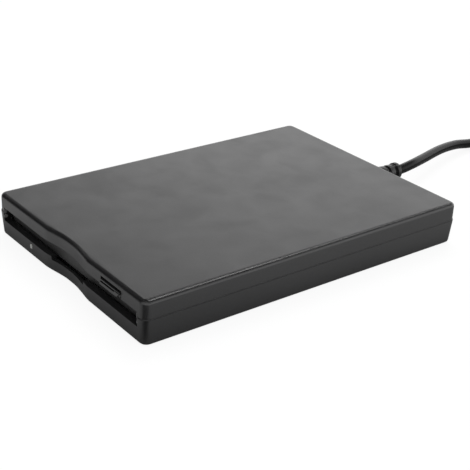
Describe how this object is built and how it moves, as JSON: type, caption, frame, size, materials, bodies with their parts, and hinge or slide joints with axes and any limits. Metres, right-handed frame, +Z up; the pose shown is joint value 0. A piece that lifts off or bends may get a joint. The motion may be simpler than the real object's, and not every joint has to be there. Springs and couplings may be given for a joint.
{
  "type": "external floppy disk drive",
  "caption": "Slim external disk drive with a front slot, dust flap, eject button, disk carrier, spindle, head carriage and a plug lead.",
  "frame": {"origin": "on the surface it rests on, under the middle of the case", "axes": "+Z up, -Y out of the disk slot, +X to the right seen from the front"},
  "size_m": [0.1655, 0.295, 0.0167],
  "materials": {
    "case_plastic": "fine matt texture, dark grey",
    "dark_plastic": "satin black",
    "flap_plastic": "matt grey",
    "white_plastic": "satin white",
    "light_pipe": "frosted clear",
    "foot_rubber": "matt black",
    "lead_jacket": "satin black jacket",
    "zinc_steel": "zinc plated sheet",
    "bush_brass": "turned",
    "winding": "varnished copper winding",
    "head_ceramic": "lapped",
    "board": "green laminate",
    "lamp": "diffused lens",
    "film": "amber film"
  },
  "bodies": {
    "casing": {"top_cover": "case_plastic", "bottom_cover": "case_plastic", "foot_1": "foot_rubber", "foot_2": "foot_rubber", "foot_3": "foot_rubber", "foot_4": "foot_rubber", "case_screw_1": "zinc_steel", "case_screw_2": "zinc_steel", "drive_screw_1": "zinc_steel", "drive_screw_2": "zinc_steel", "drive_screw_3": "zinc_steel", "drive_screw_4": "zinc_steel", "drive_frame": "zinc_steel", "drive_shield": "zinc_steel", "slider_spring_1": "zinc_steel", "slider_spring_2": "zinc_steel", "stator": "winding", "spindle_bush": "bush_brass", "head_bracket": "zinc_steel", "stepper_motor": "zinc_steel", "guide_rod": "zinc_steel", "spindle_board": "board", "main_board": "board", "usb_board": "board", "indicator_light": "lamp", "light_pipe": "light_pipe", "write_protect_switch": "dark_plastic", "density_switch": "dark_plastic", "disk_in_switch": "dark_plastic", "head_cable": "film", "strain_relief": "lead_jacket", "usb_cord": "lead_jacket", "cord_coil": "lead_jacket", "plug_cord": "lead_jacket", "inner_leads": "lead_jacket", "plug_grip": "lead_jacket", "plug_shell": "zinc_steel", "plug_tongue": "white_plastic"},
    "eject_slide": {"eject_slider": "zinc_steel", "eject_button": "dark_plastic"},
    "carrier": {"disk_carrier": "zinc_steel"},
    "lever": {"shutter_lever": "zinc_steel"},
    "flap": {"dust_flap": "flap_plastic"},
    "rotor": {"spindle_rotor": "zinc_steel"},
    "carriage": {"head_carriage": "dark_plastic", "lower_head": "head_ceramic", "arm_pin": "zinc_steel"},
    "arm": {"head_arm": "dark_plastic", "upper_head": "head_ceramic"},
    "screw": {"lead_screw": "zinc_steel"},
    "write_protect_pin": {"write_protect_plunger": "white_plastic"},
    "density_pin": {"density_plunger": "white_plastic"},
    "disk_in_pin": {"disk_in_plunger": "white_plastic"}
  },
  "joints": [
    {"name": "eject_travel", "type": "slide", "parent": "casing", "child": "eject_slide", "axis": [0, -1, 0], "range_m": [0, 0.0045], "deforming": ["slider_spring_1", "slider_spring_2"]},
    {"name": "carrier_drop", "type": "slide", "parent": "casing", "child": "carrier", "axis": [0, 0, -1], "range_m": [0, 0.002]},
    {"name": "lever_swing", "type": "hinge", "parent": "carrier", "child": "lever", "pos_m": [0.04, 0.0225, 0.01255], "axis": [0, 0, -1], "range_deg": [0, 68], "stiffness_Nm_per_rad": 0.0005, "springref_deg": -17.19},
    {"name": "flap_hinge", "type": "hinge", "parent": "casing", "child": "flap", "pos_m": [0, -0.0668, 0.0119], "axis": [1, 0, 0], "range_deg": [0, 88], "stiffness_Nm_per_rad": 0.0005, "springref_deg": -11.46},
    {"name": "spindle_spin", "type": "hinge", "parent": "casing", "child": "rotor", "pos_m": [0, -0.019, 0.00535], "axis": [0, 0, 1], "continuous": true},
    {"name": "head_seek", "type": "slide", "parent": "casing", "child": "carriage", "axis": [0, -1, 0], "range_m": [0, 0.0148], "deforming": ["head_cable"]},
    {"name": "arm_lift", "type": "hinge", "parent": "carriage", "child": "arm", "pos_m": [0, 0.047, 0.01205], "axis": [1, 0, 0], "range_deg": [0, 4.3]},
    {"name": "screw_spin", "type": "hinge", "parent": "casing", "child": "screw", "pos_m": [-0.014, 0.0281, 0.00825], "axis": [0, 1, 0], "range_deg": [0, 1421]},
    {"name": "write_protect_press", "type": "slide", "parent": "casing", "child": "write_protect_pin", "axis": [0, 0, -1], "range_m": [0, 0.0005], "stiffness_N_per_m": 100, "springref_m": -0.0005},
    {"name": "density_press", "type": "slide", "parent": "casing", "child": "density_pin", "axis": [0, 0, -1], "range_m": [0, 0.0005], "stiffness_N_per_m": 100, "springref_m": -0.0005},
    {"name": "disk_in_press", "type": "slide", "parent": "casing", "child": "disk_in_pin", "axis": [0, 0, -1], "range_m": [0, 0.0005], "stiffness_N_per_m": 100, "springref_m": -0.0005}
  ],
  "couplings": [
    {"joint": "carrier_drop", "follows": "eject_travel", "ratio": 0.44444},
    {"joint": "arm_lift", "follows": "eject_travel", "rad_per_m": 16.6},
    {"joint": "screw_spin", "follows": "head_seek", "rad_per_m": 1675.5}
  ]
}
